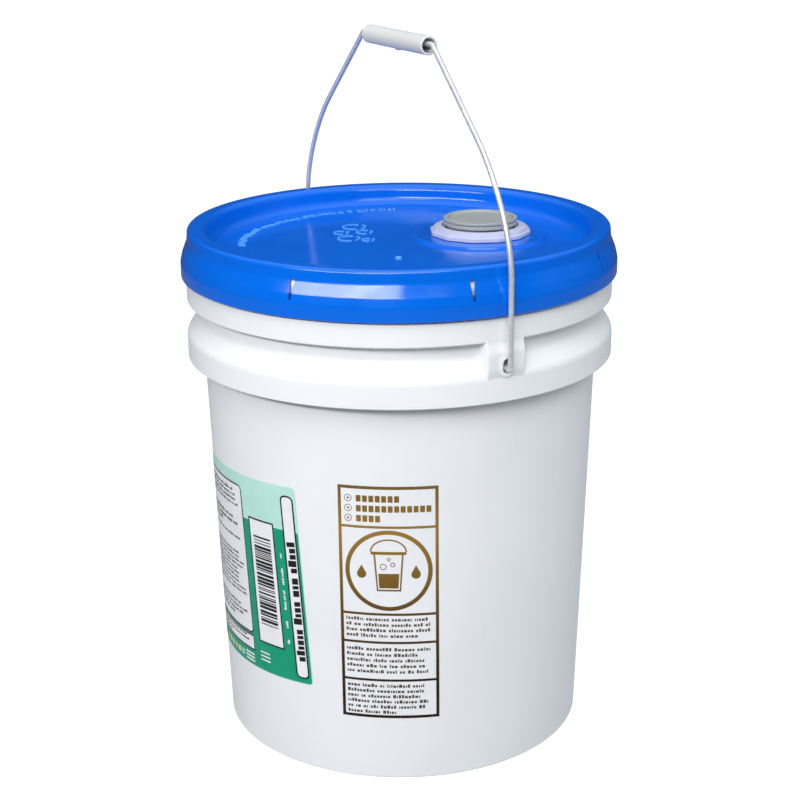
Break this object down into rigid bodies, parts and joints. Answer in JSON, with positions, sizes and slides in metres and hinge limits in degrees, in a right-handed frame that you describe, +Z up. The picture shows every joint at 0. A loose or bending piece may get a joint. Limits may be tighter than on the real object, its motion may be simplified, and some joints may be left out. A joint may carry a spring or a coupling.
{
  "type": "five gallon plastic pail with pour spout lid",
  "caption": "Tapered white plastic pail with a blue press-on lid, a pull-up pour spout under a grey screw cap, and a wire bail with a tube grip.",
  "frame": {"origin": "centre of the pail's footprint on the surface that it stands on", "axes": "+Z up along the pail's axis; the bail ears stand on the X axis; the pour spout lies near +Y"},
  "size_m": [0.3202, 0.3106, 0.5053],
  "materials": {
    "pail_white": "moulded polyethylene, satin",
    "lid_blue": "moulded polyethylene, glossy",
    "spout_white": "moulded polyethylene, satin",
    "bellows_white": "soft moulded polyethylene",
    "cap_grey": "moulded polypropylene, satin",
    "seal_rubber": "matt",
    "liner_foam": "closed-cell foam, matt",
    "galvanised_wire": "galvanised, drawn",
    "grip_white": "moulded polyethylene tube, satin",
    "label_green": "coated printed label"
  },
  "bodies": {
    "pail": {"pail_shell": "pail_white", "body_label": "label_green"},
    "lid": {"lid_cover": "lid_blue", "lid_gasket": "seal_rubber", "spout_base_ring": "spout_white", "spout_gasket": "seal_rubber", "spout_bellows": "bellows_white"},
    "spout": {"spout_neck": "spout_white", "tear_out_seal": "bellows_white"},
    "liner": {"cap_liner": "liner_foam"},
    "cap": {"spout_cap": "cap_grey"},
    "left_pull": {"cap_handle_left": "cap_grey"},
    "right_pull": {"cap_handle_right": "cap_grey"},
    "bail": {"bail_wire": "galvanised_wire"},
    "grip": {"bail_grip": "grip_white"}
  },
  "joints": [
    {"name": "lid_lift", "type": "slide", "parent": "pail", "child": "lid", "axis": [0, 0, 1], "range_m": [0, 0.012]},
    {"name": "spout_extend", "type": "slide", "parent": "lid", "child": "spout", "axis": [0, 0, 1], "range_m": [0, 0.04], "deforming": ["spout_bellows"]},
    {"name": "cap_lift", "type": "slide", "parent": "spout", "child": "liner", "axis": [0, 0, 1], "range_m": [0, 0.0081]},
    {"name": "cap_turn", "type": "hinge", "parent": "liner", "child": "cap", "pos_m": [0.00949, 0.06127, 0.366], "axis": [0, 0, 1], "range_deg": [0, 720]},
    {"name": "left_pull_fold", "type": "hinge", "parent": "cap", "child": "left_pull", "pos_m": [0.00761, 0.06156, 0.3692], "axis": [0.153, 0.9882, 0], "range_deg": [0, 90]},
    {"name": "right_pull_fold", "type": "hinge", "parent": "cap", "child": "right_pull", "pos_m": [0.01136, 0.06098, 0.3692], "axis": [-0.153, -0.9882, 0], "range_deg": [0, 90]},
    {"name": "bail_swing", "type": "hinge", "parent": "pail", "child": "bail", "pos_m": [0, 0, 0.3025], "axis": [1, 0, 0], "range_deg": [-131, 131]},
    {"name": "grip_spin", "type": "hinge", "parent": "bail", "child": "grip", "pos_m": [0, 0, 0.5], "axis": [1, 0, 0], "continuous": true}
  ],
  "couplings": [
    {"joint": "cap_lift", "follows": "cap_turn", "m_per_rad": 0.00063662}
  ]
}
